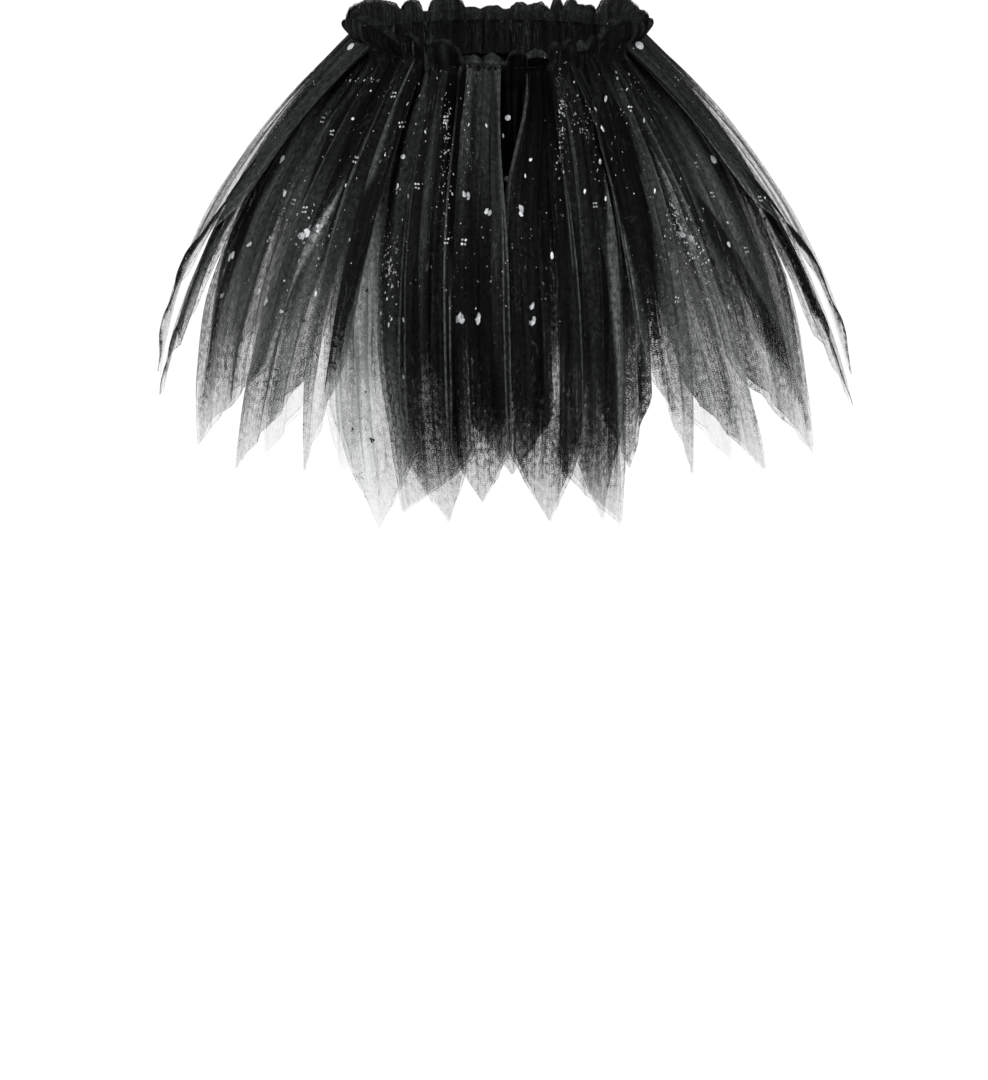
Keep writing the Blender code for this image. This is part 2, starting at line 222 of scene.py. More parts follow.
PLEATS = ((-0.7, -0.1), (0.1, 0.7))  # one narrow pleat lies somewhere in each stretch of a ply
PLEAT_BACK = (0.002, 0.005)  # a pleat doubles back by this much at the waist
PLEAT_OPENS = 0.7  # and loses this share of it by the tip
PLEAT_PEAK = 2.33  # 1 over the highest value of x * exp(-x * x), which is a pleat's form
PLEAT_STRAYS = 0.10
PLEAT_CLOSED = 0.9
PLEAT_UNEVEN = 0.7
PLEAT_WIDTH = 0.0035
PLEAT_STEP = 0.0008
STEP_SHARPNESS = 2.0
STEP_WIDTHS = 9.0  # the square of how many pleat widths the step takes to level out
STEP_RISES = 6.0
FOLD_SPAN = (-0.1, 1.01)  # a doubled strip goes a little past its ends
FOLD_OPENS = 3.0
FOLD_BLUNT = 0.35
FOLD_NARROWS = 1.3
FOLD_POINT = 1.04
FOLD_CLOSES = 12.0
FOLD_EDGE = 0.0008
FOLD_SOFT = 0.22  # of its width
FOLD_STRAYS = 0.06  # of the petal's half width, the way a strip wanders
FOLD_THINS = 0.25  # and the share of its cover left at its lower end
FOLD_RAISED = 0.0012
CRUMPLE = 0.0012
CRUMPLE_SIZE = 0.03
EDGE_CURL = 0.003
EDGE_FROM = 0.8
FULL_COVER = 1.5  # at the seam the gathers lie so close that no light passes
RIM_COVER = 0.18  # the cut edge stops a little more light
RIM_FROM = 0.965
# a painted highlight lightens the cut edge, growing from the seam down
RIM_PAINTED_HIGHLIGHT = 0.5
FRAYED_COVER = 0.05  # a point as sheer as this frays away to nothing
TIP_FADES = 0.95
BAND_COVER = 0.7  # broad lengthwise bands are denser or thinner by this much of the noise
BAND_SIZE = 0.009
# the painted sheen is stronger or weaker in like bands by this much of the noise
PAINTED_SHEEN_SPREAD = 1.2
PETAL_UV_STEP = 0.31  # so that no two plies show the same stretch of net
PLY_UV_STEP = 0.13

# The header: loops of the same net standing over the elastic, from the wearer's right to left.
# Heights are above the casing's top, and a film is a loop of a single clear layer.
Puff = namedtuple("Puff", "bearing spread height bulge film")
FRONT_PUFFS = (
    Puff(-88.0, 11.0, 0.0085, 0.0060, 0.0),
    Puff(-64.0, 22.5, 0.0180, 0.0070, 0.0),
    Puff(-36.5, 4.8, 0.0160, 0.0030, 0.0),
    Puff(-29.2, 1.5, 0.0130, 0.0010, 0.0),
    Puff(-21.8, 7.6, 0.0165, 0.0045, 0.0),
    Puff(-10.5, 5.0, 0.0060, 0.0003, 1.0),
    Puff(-2.0, 5.0, 0.0070, 0.0003, 1.0),
    Puff(8.0, 4.5, 0.0100, 0.0000, 0.0),
    Puff(15.0, 5.5, 0.0090, 0.0015, 0.3),
    Puff(23.2, 2.7, 0.0130, 0.0030, 0.0),
    Puff(29.3, 3.2, 0.0145, 0.0030, 0.0),
    Puff(35.0, 3.4, 0.0115, 0.0010, 0.4),
    Puff(41.0, 3.2, 0.0125, 0.0030, 0.0),
    Puff(56.0, 13.5, 0.0205, 0.0060, 0.0),
    Puff(73.0, 12.0, 0.0150, 0.0065, 0.0),
    Puff(89.0, 10.0, 0.0095, 0.0060, 0.0),
)
BACK_PUFF_TURN = 2.0
BACK_PUFF_HEIGHTS = (0.75, 0.95)
HEADER_COLUMNS = 1200
HEADER_ROWS = 26
HEADER_TUCK = 0.004  # the header's outer face starts this far below the casing's top
HEADER_FOOT_IN = 0.0004
FACE_SHARES = (0.0, 0.3, 0.6, 0.85)  # of its height, where its outer face has points
FACE_LEAN = 0.5  # of its way in that it leans by its top
FACE_BULGES = (0.12, 0.75)  # the stretch of a sine that the face's bulge follows
FACE_ROUNDNESS = 0.8
CREST_OUT = 0.35  # of the bulge
CREST_BACK = 0.1
INNER_SHARES = (0.8, 0.4)
INNER_CLEAR = (0.0012, 0.0010, 0.0008)  # how far inside the casing's wall, from the top down
INNER_DROPS = (0.001, 0.004)
BETWEEN_PUFFS = 0.0035
PUFF_SIDES = 0.3  # of the height between the puffs, where a puff's own outline starts
PANEL_BEARING = -5.0  # at the front the petals end in a straight edge, with no loop over it
PANEL_SPREAD = 14.0
PANEL_LOWER = 0.8
HEADER_CRUMPLES = ((0.0080, 0.0022), (0.0034, 0.0014), (0.0017, 0.0007))  # size and depth
HEADER_GATHERS = 150
HEADER_GATHER_DEPTH = 0.0005
GATHER_WANDER = 4.0
GATHER_WANDER_EVERY = 9.0  # degrees
FREE_TO = 0.9  # the share of the section by which the header is held again
FREE_SHARPNESS = 1.5
FREE_HEIGHT = 0.008  # a lower header isn't free to crumple
HEADER_TONE = 0.13
CROWN_COVER = 0.75
FILM_COVER = 0.16
FILM_TONE = 0.7
FILM_FROM = 0.15
FILM_RISES = 6.0
HEADER_UV = 0.06
CASING_COLUMNS = 800
CASING_ROUND = 28
CASING_COVER = 1.5
CASING_TONE = 0.06
CASING_FLATNESS = 0.35  # the powers that square off the section of a flattened tube
CASING_TALLNESS = 0.75
CASING_SLIMMER = 0.0002
CASING_UV = 0.065
FINE_GATHERS = 120
FINE_GATHER_DEPTH = 0.0004
FINE_GATHER_WANDER = 3.0
UV_ROUND = 0.9  # metres of cloth round the waist

# The net's patterns: their size across and along the cloth, the detail of their noise, and the
# strength that they rise from and to between two values of it.
Pattern = namedtuple("Pattern", "across along detail low high weak strong")
STREAKS = Pattern(0.009, 0.30, 3, 0.3, 0.7, 0.6, 1.4)
FINE_LINES = Pattern(0.0017, 0.05, 2, 0.3, 0.7, 0.75, 1.25)
MOTTLE = Pattern(0.0026, 0.004, 5, 0.3, 0.7, 0.65, 1.4)
VEIN_PATCHES = Pattern(0.03, 0.05, 1, 0.44, 0.60, 0.0, 1.0)
CRACK_PATCHES = Pattern(0.025, 0.040, 1, 0.40, 0.60, 0.15, 1.0)
VEIN_SIZE = (0.0050, 0.024)
VEIN_DETAIL = 3
VEIN_BENT = 0.5
VEIN_WIDTH = 0.016
VEIN_COVER = 0.4
# a painted highlight lights the veins where the cloth is dense: at most this much, and below that
# GLEAM_TONE times the painted sheen
VEIN_PAINTED_HIGHLIGHT = 0.5
GLEAM_COVERS = (0.6, 1.2)  # veins shine only where the cloth is dense
GLEAM_TONE = 8.0
CRACK_SIZE = (0.0045, 0.0075)
CRACK_DETAIL = 2
CRACK_BENT = 1.2
CRACK_WIDTH = 0.10
CRACK_COVER = 0.7
# painted shade darkens the cracks by this share
CRACK_PAINTED_SHADE = 0.55
NET_CELL = (0.0013, 0.0013)
NET_RANDOMNESS = 0.8
NET_THREAD = (0.05, 0.2)
THREAD_COVER = 0.8
HOLE_COVER = 0.6
# the grey that the painted sheen lightens the black threads towards, and their own black
TULLE_LIGHT = (0.108, 0.115, 0.113)
TULLE_DARK = (0.0008, 0.0008, 0.0011)
TULLE_FINISH = {
    "Roughness": 0.5, "Specular IOR Level": 0.03, "Sheen Weight": 0.005, "Sheen Roughness": 0.4,
}
TULLE_BUMP = {"Strength": 0.6, "Distance": 0.0006}
FOIL_LIGHT = (0.85, 0.87, 0.90)
FOIL_DARK = (0.02, 0.021, 0.023)
FOIL_FINISH = {"Metallic": 0.35, "Roughness": 0.55}
THREAD_FINISH = {"Base Color": (0.006, 0.006, 0.007, 1), "Roughness": 0.4}

# The glitter: how far right and down the photograph shows each piece, in its pixels, and its size
# in metres. Each lies on the cloth that the camera's ray meets there.
SEQUINS = (
    (351, 47, 0.0033), (639, 46, 0.0034), (283, 160, 0.0033), (712, 160, 0.0034), (508, 118, 0.0021),
    (507, 179, 0.0019), (403, 157, 0.0018), (728, 245, 0.0022), (531, 160, 0.0013), (353, 119, 0.0012),
    (371, 91, 0.0008), (727, 223, 0.0011),
)
DASHES = (
    (408, 104, 0.0013), (469, 125, 0.0011), (486, 126, 0.0012), (503, 136, 0.0012), (525, 176, 0.0012),
    (398, 187, 0.002), (408, 196, 0.0013), (452, 194, 0.0012), (606, 99, 0.0019), (595, 109, 0.0014),
    (602, 130, 0.002), (600, 162, 0.0017), (644, 121, 0.0014), (644, 164, 0.0018), (552, 256, 0.0021),
    (585, 192, 0.0014), (606, 199, 0.0015), (655, 191, 0.0016), (397, 193, 0.0012), (346, 186, 0.0012),
    (425, 132, 0.001), (420, 96, 0.0009), (385, 155, 0.001), (316, 294, 0.0016), (389, 325, 0.0014),
    (403, 320, 0.0013), (403, 377, 0.0014), (728, 307, 0.0016),
)
CLUSTERS = (
    (394, 95, 0.002), (401, 125, 0.0022), (446, 119, 0.002), (356, 160, 0.0022), (417, 186, 0.002),
    (305, 210, 0.0022), (323, 120, 0.002), (447, 241, 0.002), (464, 242, 0.0022), (562, 103, 0.0018),
    (630, 109, 0.0018), (746, 250, 0.002), (765, 257, 0.0022), (677, 300, 0.0019), (294, 202, 0.0019),
    (326, 355, 0.0018), (696, 165, 0.0019), (712, 195, 0.0018), (595, 205, 0.0018), (332, 133, 0.0016),
)
SHARDS = (
    (466, 195, 0.0026), (487, 212, 0.0028), (522, 211, 0.0026), (304, 233, 0.0036), (319, 228, 0.0026),
    (299, 262, 0.0018), (231, 257, 0.003), (250, 245, 0.002), (270, 240, 0.002), (285, 193, 0.0022),
    (692, 240, 0.0036), (680, 232, 0.0028), (460, 320, 0.0034), (478, 318, 0.0034), (533, 306, 0.0024),
    (532, 320, 0.0026), (260, 292, 0.0022), (267, 302, 0.0024), (223, 296, 0.0024), (282, 311, 0.0016),
)
KNOTS = (
    (304, 321, 0.0014), (367, 290, 0.0012), (353, 430, 0.0014), (372, 440, 0.0014), (366, 391, 0.001),
    (720, 416, 0.0013), (696, 395, 0.0013),
)
# Finer glitter lies in patches: left, top, right and bottom in pixels, how many and what size.
PATCH_WIDTHS = 3.0  # a patch is so many standard deviations wide
PATCHES = (
    (441, 84, 451, 195, 90, 0.0006), (557, 78, 566, 192, 90, 0.00055), (464, 90, 471, 180, 22, 0.00055),
    (575, 100, 592, 145, 46, 0.00055), (382, 228, 396, 300, 90, 0.0007),
    (298, 218, 326, 252, 40, 0.00065), (666, 196, 680, 224, 60, 0.00065),
    (674, 220, 690, 244, 70, 0.00065), (686, 236, 702, 262, 60, 0.0006),
    (696, 262, 710, 320, 50, 0.00055), (668, 200, 702, 266, 40, 0.0006),
    (340, 70, 440, 200, 90, 0.00045), (560, 70, 660, 200, 90, 0.00045),
    (420, 200, 560, 330, 110, 0.00045), (240, 150, 340, 300, 60, 0.0005),
    (640, 150, 770, 300, 60, 0.0005), (348, 78, 384, 83, 14, 0.0006), (616, 71, 641, 85, 14, 0.0006),
)
# On the sides and the back the same kinds lie by chance, most of them in the upper part: how many
# sequins, dashes, clusters, shards and grains of dust, and their smallest and largest sizes.
HIDDEN = (
    (16, 0.0010, 0.0024), (46, 0.0010, 0.0020), (34, 0.0017, 0.0022), (30, 0.0017, 0.0034),
    (760, 0.00035, 0.00070),
)
HIDDEN_BEARINGS = (72.0, 288.0)
HIDDEN_TOP = -0.015
HIDDEN_FOOT = -0.190
HIDDEN_CROWDING = 1.5
CAST_FROM = 0.45

# The form of a chip: its reach for a piece's size, its length in widths, its corners and how far
# they stray.
Chip = namedtuple("Chip", "reach long corners uneven")
SEQUIN = Chip(1.0, 1.0, 8, 0.0)
DASH = Chip(0.55, 2.4, 6, 0.2)
CLUSTER = Chip(0.46, 1.0, 4, 0.3)
SHARD = Chip(0.55, 1.4, 4, 0.5)
DUST = Chip(0.8, 1.0, 4, 0.5)
SEQUIN_TONES = (0.8, 1.0)
DASH_TONES = (0.5, 1.0)
CLUSTER_TONES = (0.3, 0.8)
CLUSTER_ACROSS = (-0.5, 0.5)
CLUSTER_ALONG = (-0.6, 0.6)
CLUSTER_LOOSE = (1.0, 1.5)
SHARD_FACETS = 4
SHARD_CORNERS = (4, 5, 6)
SHARD_SHIFT = 0.8
SHARD_TONES = (0.25, 0.85)
DUST_TONES = (0.06, 0.90)
DUST_DARKER = 1.4  # a power that makes more of the dust dark
DUST_LONG = (0.6, 2.2)
DUST_SIZES = (0.6, 1.4)
CHIP_LIFT = 0.0004
CHIP_TILT = 0.30
CHIP_DOME = 0.35

# Running stitches hold the header and the petals to the casing.
STITCH_HEIGHT = 0.0105
STITCHES_ROUND = 150
STITCH_STRAYS = 0.15
STITCH_HALF_LENGTH = 0.0013
STITCH_HALF_WIDTH = 0.00016
STITCH_SIDES = ((-1, 0), (0, 1), (1, 0), (0, -1))


def smooth(share):
    share = min(1.0, max(0.0, share))
    return share * share * (3 - 2 * share)


def blend(start, end, share):
    return start + (end - start) * share


def ripple(*where):
    """Smooth noise from -1 to 1.

    What a place is multiplied by is how often the noise changes there. The other numbers only keep
    one unevenness apart from the next.
    """
    return noise.noise(Vector(where))


def stepped(values, share):
    """The value at that share of the way along evenly spaced ones, smoothly from each to the next."""
    place = share * (len(values) - 1)
    first = min(int(place), len(values) - 2)
    return blend(values[first], values[first + 1], smooth(place - first))


def turn_between(bearing, centre):
    return (bearing - centre + 180) % 360 - 180


def waist_dip(bearing):
    return -FRONT_DIP * max(0.0, cos(radians(bearing))) ** 2


def ring_point(bearing, outward, height):
    turn = radians(bearing)
    square_x = WAIST_HALF_DEPTH * sin(turn)
    square_y = -WAIST_HALF_WIDTH * cos(turn)
    share = outward / hypot(square_x, square_y)
    x = WAIST_HALF_WIDTH * sin(turn) + square_x * share
    y = -WAIST_HALF_DEPTH * cos(turn) + square_y * share
    return x, y, height + waist_dip(bearing)


def degrees_per_metre(bearing, outward):
    x0, y0, _ = ring_point(bearing - BEARING_STEP, outward, 0)
    x1, y1, _ = ring_point(bearing + BEARING_STEP, outward, 0)
    return 2 * BEARING_STEP / hypot(x1 - x0, y1 - y0)


def casing_outside(height):
    middle = (CASING_TOP + CASING_FOOT) / 2
    share = 1 - abs(height - middle) / (CASING_TOP - middle)
    return CASING_WALL / 2 + CASING_GATHER_DEPTH + CASING_BULGE * share


# Where the petals hang, as in the CAD

def petals():
    chance = random.Random(SEED)
    made = []
    for order, row in enumerate(FRONT):
        made.append(petal_of(f"front_petal_{order + 1:02d}", row, chance, len(made)))
    for order, row in enumerate(row for row in FRONT if abs(row.bearing) < BACK_WITHIN):
        back = row._replace(
            bearing=180 - row.bearing + chance.uniform(-BEARING_SPREAD, BEARING_SPREAD),
            seam_turn=-row.seam_turn,
            tip_drop=row.tip_drop + chance.uniform(-DROP_SPREAD, DROP_SPREAD),
            slip=-row.slip,
            covers=tuple(cover * share for cover, share in zip(row.covers, BACK_COVERS)),
            folds=tuple(
                fold._replace(across=-fold.across, across_end=-fold.across_end) for fold in row.folds
            ),
            drawn_in=0.0,
            let_out=-row.let_out,
        )
        made.append(petal_of(f"back_petal_{order + 1:02d}", back, chance, len(made)))
    return made


def petal_of(name, row, chance, order):
    growing = copysign(1, sin(radians(2 * row.bearing)))
    side = chance.choice((-1, 1))
    return Petal(name, row._replace(skew=row.skew * growing), side, order)


def lean_angles(tier, bearing):
    facing = cos(radians(bearing)) ** 2
    top = blend(tier.side_top, tier.front_top, facing)
    hem = blend(tier.side_hem, tier.front_hem, facing)
    return radians(top), radians(hem)


def bend_of(tier, bearing):
    top, hem = lean_angles(tier, bearing)
    return (hem - top) / (FULL_LENGTH - STRAIGHT_LENGTH)


def hang(tier, bearing, length):
    """How far outward and down that length of a petal reaches, and how it leans there."""
    top = lean_angles(tier, bearing)[0]
    straight = min(length, STRAIGHT_LENGTH)
    outward = straight * sin(top)
    down = straight * cos(top)
    if length <= STRAIGHT_LENGTH:
        return outward, down, top
    bend = bend_of(tier, bearing)
    lean = top + bend * (length - STRAIGHT_LENGTH)
    outward += (cos(top) - cos(lean)) / bend
    down += (sin(lean) - sin(top)) / bend
    return outward, down, lean


def petal_length(row):
    tier = TIERS[row.tier]
    top = lean_angles(tier, row.bearing)[0]
    bend = bend_of(tier, row.bearing)
    below_straight = row.tip_drop + tier.seam_height - STRAIGHT_LENGTH * cos(top)
    tip_lean = asin(sin(top) + bend * below_straight)
    return STRAIGHT_LENGTH + (tip_lean - top) / bend


def half_widths(row, share):
    """Half the petal's width at that share of its length, with its point cut and uncut."""
    opening = blend(GATHERED_SHARE, 1.0, smooth(share / OPEN_BY))
    full = opening * row.width / 2
    towards_tip = max(0.0, (share - row.point_from) / (1 - row.point_from))
    return max(TIP_WIDTH / 2, full * (1 - min(1.0, towards_tip) ** POINT_FULLNESS)), full


def petal_start(tier, bearing):
    """How far outside the waist a petal's middle surface starts, at its seam."""
    half_wall = PETAL_WALL / 2 * cos(lean_angles(tier, bearing)[0])
    return casing_outside(tier.seam_height) + SEAM_GAP + half_wall


def petal_place(petal, length, share, sideways, off):
    """The point that far along and across the petal's cloth, and off its middle surface."""
    row = petal.row
    tier = TIERS[row.tier]
    middle = row.bearing + row.seam_turn * (1 - share)
    start = petal_start(tier, middle)
    middle_away = start + hang(tier, middle, length)[0]
    bearing = middle + sideways * degrees_per_metre(middle, middle_away)
    outward, down, lean = hang(tier, bearing, length)
    away = start + outward + off * cos(lean)
    height = tier.seam_height - down + off * sin(lean)
    x, y, z = ring_point(bearing, away, height)
    return x + HEM_SWAY * share**3, y, z


def head_place(petal, puffs, up_share, sideways, off):
    """A point of the petal's head, from its seam up over the casing and the header's face."""
    tier = TIERS[petal.row.tier]
    middle = petal.row.bearing + petal.row.seam_turn
    start = petal_start(tier, middle)
    bearing = middle + sideways * degrees_per_metre(middle, start)
    crown = crown_at(puffs, bearing)
    head_top = CASING_TOP + HEAD_SHARE * crown.height * (1 - min(1.0, FILM_LOWERS * crown.film))
    above = up_share * max(0.0, head_top - tier.seam_height)
    height = tier.seam_height + above
    lean = lean_angles(tier, bearing)[0]
    face = casing_outside(min(height, CASING_TOP))
    if height > CASING_TOP:
        face += face_bulge(crown, (height - CASING_TOP) / crown.height)
    settled = smooth(above / HEAD_SETTLE)
    away = blend(start + off * cos(lean), face + HEAD_OFF + PLY_GAP + off, settled)
    return ring_point(bearing, away, height)


# The petals' fine cloth

def spot_on(petal, ply, across, down):
    """A place on a ply: from -1 to 1 across it, and how far aside that is when it lies flat."""
    half, full = half_widths(petal.row, down)
    aside = across * half + petal.row.skew * (full - half)
    seed = petal.order * PETAL_SEED + ply * PLY_SEED
    return Spot(petal, ply, seed, across, down, full, aside, aside / full, sqrt(half / full))


def pleats_of(petal, ply):
    """Where a ply's narrow pleats lie across it, and how far each doubles back."""
    chance = random.Random(SEED + 97 * petal.order + ply)
    return [(chance.uniform(*stretch), chance.uniform(*PLEAT_BACK)) for stretch in PLEATS]


def fold_taper(along):
    """A doubled strip's width there: it opens soon, narrows downwards and ends in a point."""
    opening = smooth(along * FOLD_OPENS + FOLD_BLUNT)
    narrowing = blend(FOLD_BLUNT, 1.0, smooth((1 - along) * FOLD_NARROWS))
    return opening * narrowing * smooth((FOLD_POINT - along) * FOLD_CLOSES)


def folds_at(petal, across, share):
    """Each doubled strip there with how much of it: 1 on the strip and 0 beside it."""
    half = half_widths(petal.row, share)[0]
    found = []
    for order, fold in enumerate(petal.row.folds):
        along = (share - fold.starts) / (fold.ends - fold.starts)
        if FOLD_SPAN[0] < along < FOLD_SPAN[1]:
            wander = FOLD_STRAYS * half * ripple(petal.order * 2.9 + order, share * 2.6, 5.0)
            middle = blend(fold.across, fold.across_end, min(1.0, max(0.0, along)))
            away = abs((across - middle) * half - wander)
            edge = max(FOLD_EDGE, FOLD_SOFT * fold.width)
            amount = smooth((fold.width / 2 * fold_taper(along) - away) / edge + 0.5)
            thin = blend(1.0, FOLD_THINS, smooth(along))
            found.append((fold._replace(cover=fold.cover * thin), amount))
    return found


def edge_moved(spot):
    """How far aside an edge is drawn in at the seam, or let out halfway down."""
    row = spot.petal.row
    drawn = row.drawn_in * (1 - spot.across) / 2 * smooth(1 - spot.down / DRAWN_TO)
    outer = max(0.0, copysign(1, row.let_out) * spot.across)
    halfway = smooth(spot.down / LET_BY) * smooth((1 - spot.down) / LET_BY - LET_BACK)
    return drawn + row.let_out * outer * halfway


def waved(spot):
    """How far the CAD's folds, made uneven, and the finer ones lift the cloth."""
    seed, flat, down = spot.seed, spot.flat, spot.down
    turn = pi * PETAL_FOLDS * (flat + FOLD_UNEVEN * ripple(seed, flat * 1.3, 4.4))
    turn += FOLD_WANDER * pi * ripple(seed, down * 2.2, 1.7) * smooth(down * 2)
    depth = blend(FOLD_AT_SEAM, FOLD_AT_HEM, down)
    depth *= FOLD_DEPTH + FOLD_DEPTH_SPREAD * ripple(seed, flat * 2, down * 3)
    fine = pi * FINE_FOLDS * flat + FINE_WANDER * ripple(seed + 9, flat * 2, down * 3)
    fine_depth = FINE_DEPTH * (1 - FINE_LOST * smooth(down * FINE_LOST_RATE))
    return spot.fading * (spot.petal.fold_side * depth * cos(turn) + fine_depth * cos(fine))


def pleated(spot, pleats):
    """How far the narrow pleats move the cloth aside, and how far they lift it."""
    aside = 0.0
    off = 0.0
    for order, (centre, back) in enumerate(pleats):
        centre += PLEAT_STRAYS * ripple(spot.seed + 50 + order, spot.down * 1.4, 2.0)
        away = (spot.flat - centre) * spot.full / PLEAT_WIDTH
        uneven = PLEAT_CLOSED + PLEAT_UNEVEN * ripple(spot.seed + 60 + order, spot.down * 1.8, 1.0)
        closed = max(0.0, (1 - PLEAT_OPENS * spot.down) * uneven)
        aside -= PLEAT_PEAK * back * closed * spot.fading * away * exp(-away * away)
        step = tanh(STEP_SHARPNESS * away) * exp(-away * away / STEP_WIDTHS)
        off += PLEAT_STEP * step * smooth(spot.down * STEP_RISES)
    return aside, off


def crumpled(spot, sideways, length):
    """How far the crumples and the curl of the cut edges lift the cloth."""
    crumple = ripple(spot.seed + 20, sideways / CRUMPLE_SIZE, length / CRUMPLE_SIZE)
    edge = max(0.0, (abs(spot.across) - EDGE_FROM) / (1 - EDGE_FROM))
    curl = ripple(spot.seed + 30, copysign(3, spot.across), spot.down * 2.4)
    return spot.down * spot.fading * (CRUMPLE * crumple + EDGE_CURL * curl * edge * edge)


def slipped(spot):
    """How far aside the inner ply slips from the outer one."""
    swing = smooth(spot.down * SLIP_STARTS) * smooth((1 - spot.down) * SLIP_ENDS + SLIP_AT_TIP)
    uneven = 1 + SLIP_UNEVEN * ripple(spot.seed, 3.3, spot.down * 2)
    return spot.ply * spot.petal.row.slip * swing * uneven


def ply_point(petal, ply, shape, across, share):
    """A point of one ply, and how far across the flat cloth it lies, from -1 to 1.

    Below 0 the share runs up the petal's head instead, to -1 at its top.
    """
    puffs, pleats = shape
    spot = spot_on(petal, ply, across, max(0.0, share))
    reach = 1 + ply * PLY_SHORTER * ripple(spot.seed, 0.5, 8.5)
    length = spot.down * reach * petal_length(petal.row)
    pleat_aside, pleat_off = pleated(spot, pleats)
    sideways = spot.aside + edge_moved(spot) + pleat_aside
    off = waved(spot) + pleat_off + crumpled(spot, sideways, length) - PLY_GAP * ply
    if ply == 0:
        off += FOLD_RAISED * max((amount for _, amount in folds_at(petal, across, spot.down)), default=0.0)
    sideways += slipped(spot)
    if share < 0:
        return head_place(petal, puffs, -share, sideways, off), spot.flat
    return petal_place(petal, length, spot.down, sideways, off), spot.flat


def look_at(petal, ply, flat, across, share):
    """The cloth's cover and tone, its painted sheen, there: dense at the waist, sheer at the point."""
    row = petal.row
    place = flat * row.width / 2 / BAND_SIZE
    cover = stepped((FULL_COVER, *row.covers), share)
    cover *= 1 + BAND_COVER * ripple(petal.order * 5.1 + ply, place, share * 1.3)
    # painted sheen, from the seam to the tip, stronger or weaker in bands
    tone = stepped(row.tones, share)
    tone *= 1 + PAINTED_SHEEN_SPREAD * ripple(petal.order * 3.7 + ply, place, share * 1.1)
    # a doubled strip is denser and carries its own painted sheen: a painted highlight along some, painted
    # shade along others
    if ply == 0:
        for fold, amount in folds_at(petal, across, share):
            cover = blend(cover, max(cover, fold.cover), amount)
            tone = blend(tone, fold.tone, amount)
    # the cut edge is denser and carries a painted highlight
    if abs(across) > RIM_FROM:
        cover += RIM_COVER
        tone += RIM_PAINTED_HIGHLIGHT * smooth(share * 2)
    if row.covers[-1] <= FRAYED_COVER:
        cover *= smooth((1 - share) / (1 - TIP_FADES))
    return max(0.0, cover), max(0.0, tone)


def add_ply(petal, ply, puffs, points, uvs, looks):
    """Adds a ply's points, their places on the flat cloth and their looks, row by row."""
    shape = (puffs, pleats_of(petal, ply))
    length = petal_length(petal.row)
    uv_start = PETAL_UV_STEP * petal.order + PLY_UV_STEP * ply
    for down in range(-HEAD_ROWS, PLY_ROWS + 1):
        share = down / HEAD_ROWS
        along = share * HEAD_UV
        if down >= 0:
            share = down / PLY_ROWS
            share *= 1 + ROWS_CLOSER - ROWS_CLOSER * share
            along = share * length
        for column in range(PLY_COLUMNS + 1):
            across = 2 * column / PLY_COLUMNS - 1
            point, flat = ply_point(petal, ply, shape, across, share)
            cover, tone = look_at(petal, ply, flat, across, max(0.0, share))
            points.append(point)
            uvs.append((flat * petal.row.width / 2 + uv_start, along))
            looks.append((cover * smooth((1 + min(0.0, share)) * HEAD_FADES), tone))


def make_petal(petal, puffs, finish):
    """Both plies of one petal as one mesh. Returns its points and faces."""
    points, uvs, looks, faces = [], [], [], []
    for ply in (0, 1):
        faces += net_faces(HEAD_ROWS + PLY_ROWS + 1, PLY_COLUMNS + 1, first=len(points))
        add_ply(petal, ply, puffs, points, uvs, looks)
    name = petal.name.replace("petal", "petal_cloth")
    made = cloth_object(name, points, faces, uvs, looks, finish)
    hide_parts(petal.name)
    return points, faces


# Meshes

def net_faces(lines, across, first=0, around=False):
    """The faces between lines of so many points each. Around joins them up both ways."""
    faces = []
    for line in range(lines if around else lines - 1):
        this = first + line * across
        after = first + (line + 1) % lines * across
        for left in range(across if around else across - 1):
            right = (left + 1) % across
            faces.append((this + left, after + left, after + right, this + right))
    return faces


def mesh_object(name, points, faces, finish):
    mesh = bpy.data.meshes.new(name)
    mesh.from_pydata(points, [], faces)
    mesh.materials.append(finish)
    made = bpy.data.objects.new(name, mesh)
    bpy.context.scene.collection.objects.link(made)
    return made


def add_values(mesh, name, values):
    mesh.attributes.new(name, "FLOAT", "POINT").data.foreach_set("value", values)


def cloth_object(name, points, faces, uvs, looks, finish):
    """A cloth mesh whose points carry their cover and tone, the strength of the painted sheen, for the
    net's material.
    """
    made = mesh_object(name, points, faces, finish)
    mesh = made.data
    layer = mesh.uv_layers.new(name="cloth")
    for loop in mesh.loops:
        layer.data[loop.index].uv = uvs[loop.vertex_index]
    for which, attribute in enumerate(("cover", "tone")):
        add_values(mesh, attribute, [look[which] for look in looks])
    mesh.shade_smooth()
    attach(made, "root")
    return made


# The header and the casing

def all_puffs():
    """The front's puffs and, out of true, their like on the back."""
    chance = random.Random(SEED + 1)
    made = list(FRONT_PUFFS)
    for puff in FRONT_PUFFS:
        if abs(puff.bearing) < BACK_WITHIN:
            bearing = 180 - puff.bearing + chance.uniform(-BACK_PUFF_TURN, BACK_PUFF_TURN)
            height = puff.height * chance.uniform(*BACK_PUFF_HEIGHTS)
            made.append(puff._replace(bearing=bearing, height=height, film=0.0))
    return made


def crown_at(puffs, bearing):
    """The header's height, bulge and film there: puffs are round, with dips between them."""
    panel = exp(-((turn_between(bearing, PANEL_BEARING) / PANEL_SPREAD) ** 2))
    height = BETWEEN_PUFFS * (1 - PANEL_LOWER * panel)
    bulge = 0.0
    film = panel
    for puff in puffs:
        away = turn_between(bearing, puff.bearing) / puff.spread
        if abs(away) < 1:
            round_share = sqrt(1 - away * away)
            rise = blend(BETWEEN_PUFFS * PUFF_SIDES, puff.height, round_share)
            if rise > height:
                height = rise
                film = puff.film
            bulge = max(bulge, puff.bulge * round_share)
    return Puff(bearing, 0.0, height, bulge, film)


def face_bulge(crown, share):
    """How far the header's outer face stands out, that share of the way up it."""
    return crown.bulge * sin(pi * blend(*FACE_BULGES, min(1.0, share))) ** FACE_ROUNDNESS


